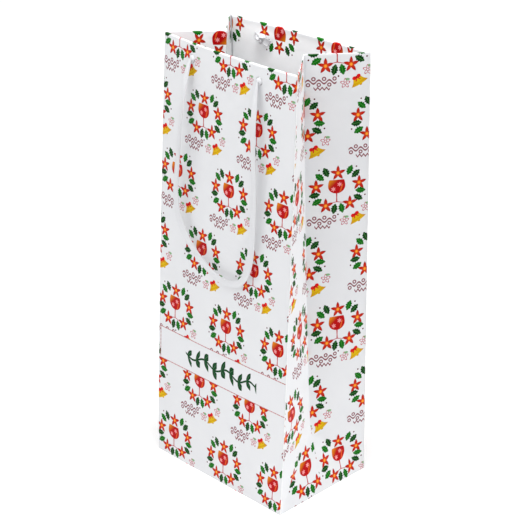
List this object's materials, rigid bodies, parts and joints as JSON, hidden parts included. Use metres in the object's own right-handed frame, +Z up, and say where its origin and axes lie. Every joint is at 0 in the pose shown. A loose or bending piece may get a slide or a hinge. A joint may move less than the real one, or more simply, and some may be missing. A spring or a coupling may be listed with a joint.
{
  "type": "wine gift bag",
  "caption": "Tall gusseted paper gift bag for one wine bottle, open at the top, with a blank label band and two hanging ribbon handles.",
  "frame": {"origin": "middle of the underside of the bag, on the surface it stands on", "axes": "+Z up along the bag's height, -Y out of the labelled front panel, +X to its right side gusset as the front is seen"},
  "size_m": [0.131, 0.0952, 0.3298],
  "materials": {
    "printed_paper": "white coated paper with a printed holly and star-flower wreath pattern",
    "plain_paper": "unprinted white paper",
    "card": "grey board",
    "ribbon": "white satin ribbon"
  },
  "bodies": {
    "base": {"bottom_outer_flap": "printed_paper", "bottom_inner_flap": "plain_paper", "bottom_right_flap": "plain_paper", "bottom_left_flap": "plain_paper", "base_board": "card", "right_gusset_foot": "printed_paper", "left_gusset_foot": "printed_paper", "right_gusset_front": "printed_paper", "left_gusset_front": "printed_paper", "right_gusset_hem_front": "printed_paper", "left_gusset_hem_front": "printed_paper", "right_gusset_rear": "printed_paper", "left_gusset_rear": "printed_paper", "right_gusset_hem_rear": "printed_paper", "left_gusset_hem_rear": "printed_paper"},
    "front_wall": {"front_panel": "printed_paper", "front_stiffener": "card", "front_hem": "printed_paper", "front_knot_left": "ribbon", "front_knot_right": "ribbon"},
    "back_wall": {"back_panel": "printed_paper", "back_stiffener": "card", "back_hem": "printed_paper", "back_knot_left": "ribbon", "back_knot_right": "ribbon", "seam_flap": "plain_paper"},
    "front_handle": {"front_handle": "ribbon"},
    "rear_handle": {"rear_handle": "ribbon"}
  },
  "joints": [
    {"name": "front_mouth", "type": "hinge", "parent": "base", "child": "front_wall", "pos_m": [0, -0.046, 0], "axis": [-1, 0, 0], "range_deg": [-1.84, 5], "deforming": ["right_gusset_front", "left_gusset_front", "right_gusset_hem_front", "left_gusset_hem_front"]},
    {"name": "back_mouth", "type": "hinge", "parent": "base", "child": "back_wall", "pos_m": [0, 0.046, 0], "axis": [1, 0, 0], "range_deg": [-1.84, 5], "deforming": ["right_gusset_rear", "left_gusset_rear", "right_gusset_hem_rear", "left_gusset_hem_rear"]},
    {"name": "front_handle_swing", "type": "hinge", "parent": "front_wall", "child": "front_handle", "pos_m": [0, -0.03806, 0.31891], "axis": [-1, 0, 0], "range_deg": [0, 168]},
    {"name": "rear_handle_swing", "type": "hinge", "parent": "back_wall", "child": "rear_handle", "pos_m": [0, 0.03806, 0.31891], "axis": [1, 0, 0], "range_deg": [0, 168]}
  ],
  "couplings": [
    {"joint": "back_mouth", "follows": "front_mouth", "ratio": 1}
  ]
}
